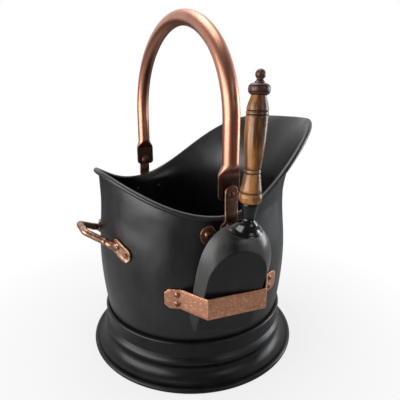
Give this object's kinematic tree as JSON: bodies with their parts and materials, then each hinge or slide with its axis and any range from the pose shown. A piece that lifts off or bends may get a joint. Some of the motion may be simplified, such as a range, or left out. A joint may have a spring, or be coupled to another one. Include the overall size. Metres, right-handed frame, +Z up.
{
  "type": "coal scuttle",
  "caption": "Round metal coal scuttle with a high spout, swinging bail, back handle, flared foot and a shovel that lifts out of a strap on its side.",
  "frame": {"origin": "centre of the foot's ring on the floor", "axes": "+Z up, +X towards the spout, -X towards the back handle, -Y towards the shovel"},
  "size_m": [0.3348, 0.3328, 0.4513],
  "materials": {
    "black_steel": "satin black",
    "bare_wire": "bare steel",
    "copper": "antique copper",
    "bail_copper": "brushed antique copper",
    "hammered_copper": "hammered copper",
    "copper_rivets": "antique copper",
    "gloss_black": "gloss black",
    "turned_wood": "stained and lacquered",
    "dark_wood": "dark stain"
  },
  "bodies": {
    "bucket": {"body_shell": "black_steel", "rim_wire": "bare_wire", "base_pan": "black_steel", "foot_ring": "black_steel", "foot_wire": "bare_wire", "ear_near": "copper", "ear_far": "copper", "ear_rivets_near": "copper_rivets", "ear_rivets_far": "copper_rivets", "pivot_pin_near": "copper_rivets", "pivot_pin_far": "copper_rivets", "rear_handle": "copper", "rear_handle_rivets": "copper_rivets", "shovel_holder": "hammered_copper", "holder_rivets": "copper_rivets"},
    "bail": {"bail": "bail_copper"},
    "shovel": {"shovel_pan": "black_steel", "shovel_socket": "gloss_black", "shovel_tang": "bare_wire", "shovel_grip": "turned_wood", "shovel_collar": "dark_wood", "shovel_finial": "dark_wood"}
  },
  "joints": [
    {"name": "bail_swing", "type": "hinge", "parent": "bucket", "child": "bail", "pos_m": [-0.022, 0, 0.246], "axis": [0, 1, 0], "range_deg": [-130, 63]},
    {"name": "shovel_lift", "type": "slide", "parent": "bucket", "child": "shovel", "axis": [0.0603, -0.2737, 0.9599], "range_m": [0, 0.12]}
  ]
}
